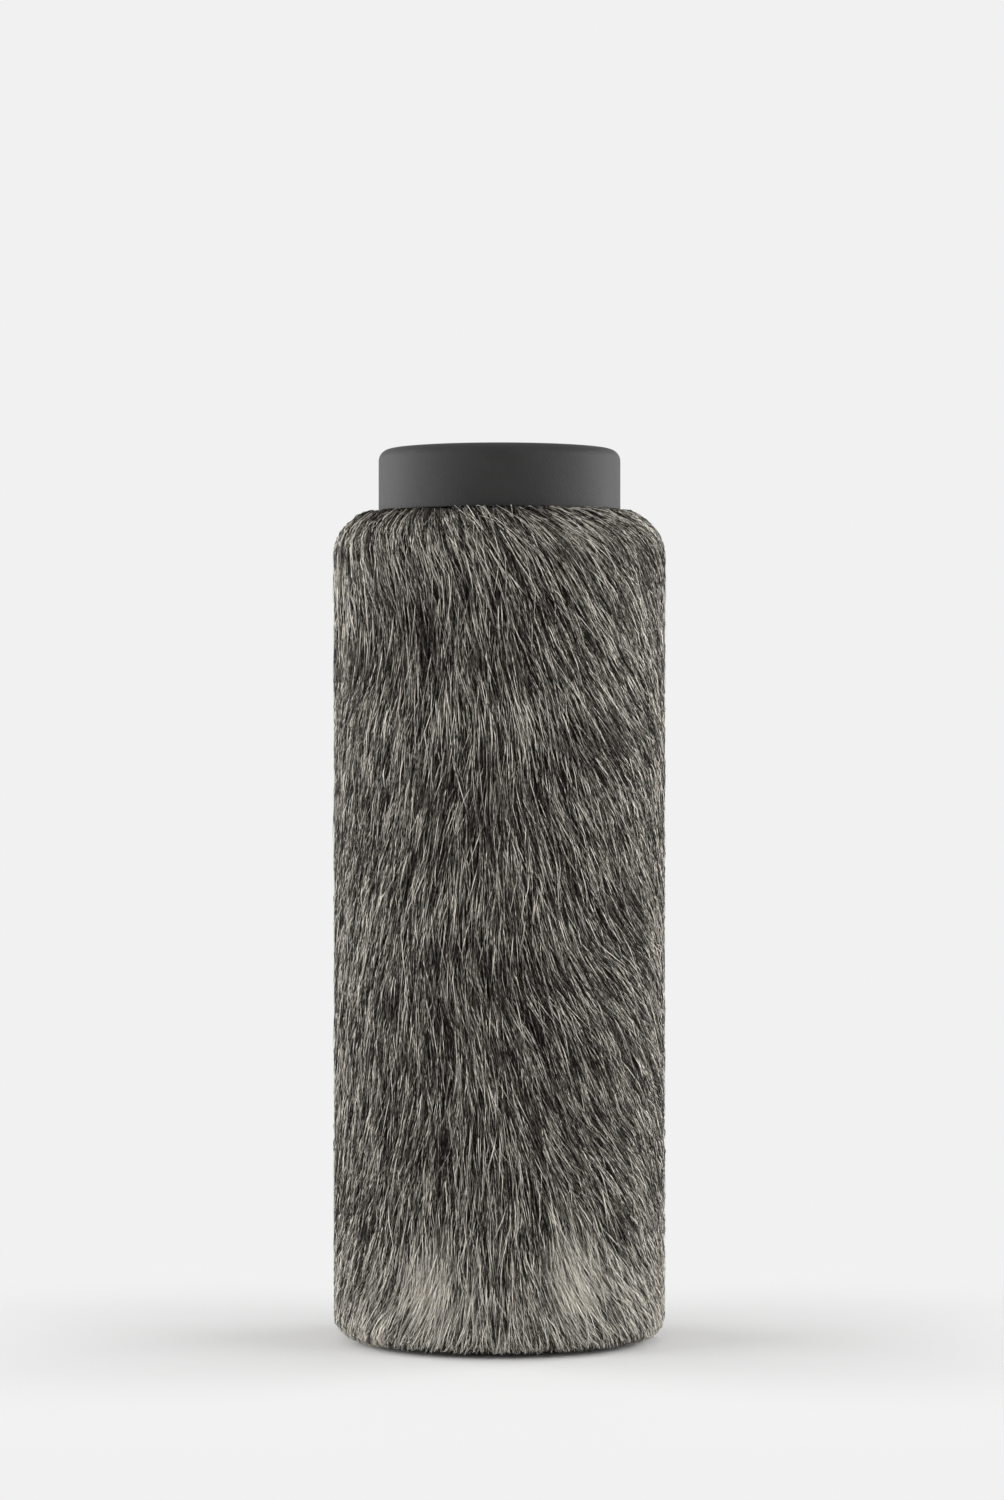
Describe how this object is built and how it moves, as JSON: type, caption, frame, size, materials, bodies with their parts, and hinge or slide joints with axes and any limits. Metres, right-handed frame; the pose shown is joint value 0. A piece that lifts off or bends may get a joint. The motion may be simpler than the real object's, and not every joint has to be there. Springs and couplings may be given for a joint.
{
  "type": "furry microphone windscreen",
  "caption": "Slip-on furry windscreen for a shotgun microphone: grey pile sleeve over a foam core, closed at the nose, with a rubber collar and a finned grip ring.",
  "frame": {"origin": "centre of the nose's flat face, where the windscreen stands", "axes": "+Z along the microphone bore, from the closed nose to the collar; +Y through the sleeve's side seam"},
  "size_m": [0.086, 0.086, 0.228],
  "materials": {
    "fur": "long grey pile",
    "knit": "matte knit",
    "thread": "matte",
    "tape": "woven",
    "nylon": "satin",
    "foam": "open-cell foam",
    "collar_rubber": "matte",
    "grip_rubber": "matte"
  },
  "bodies": {
    "root": {"fur_sleeve": "fur", "fur_nose": "fur", "sleeve_backing": "knit", "nose_backing": "knit", "side_seam_thread": "thread", "nose_seam_thread": "thread", "hem_thread": "thread", "hem_binding": "tape", "cable_tie": "nylon", "foam_core": "foam", "foam_nose": "foam", "spigot": "nylon", "collar": "collar_rubber", "grip_ring": "grip_rubber"}
  },
  "joints": []
}
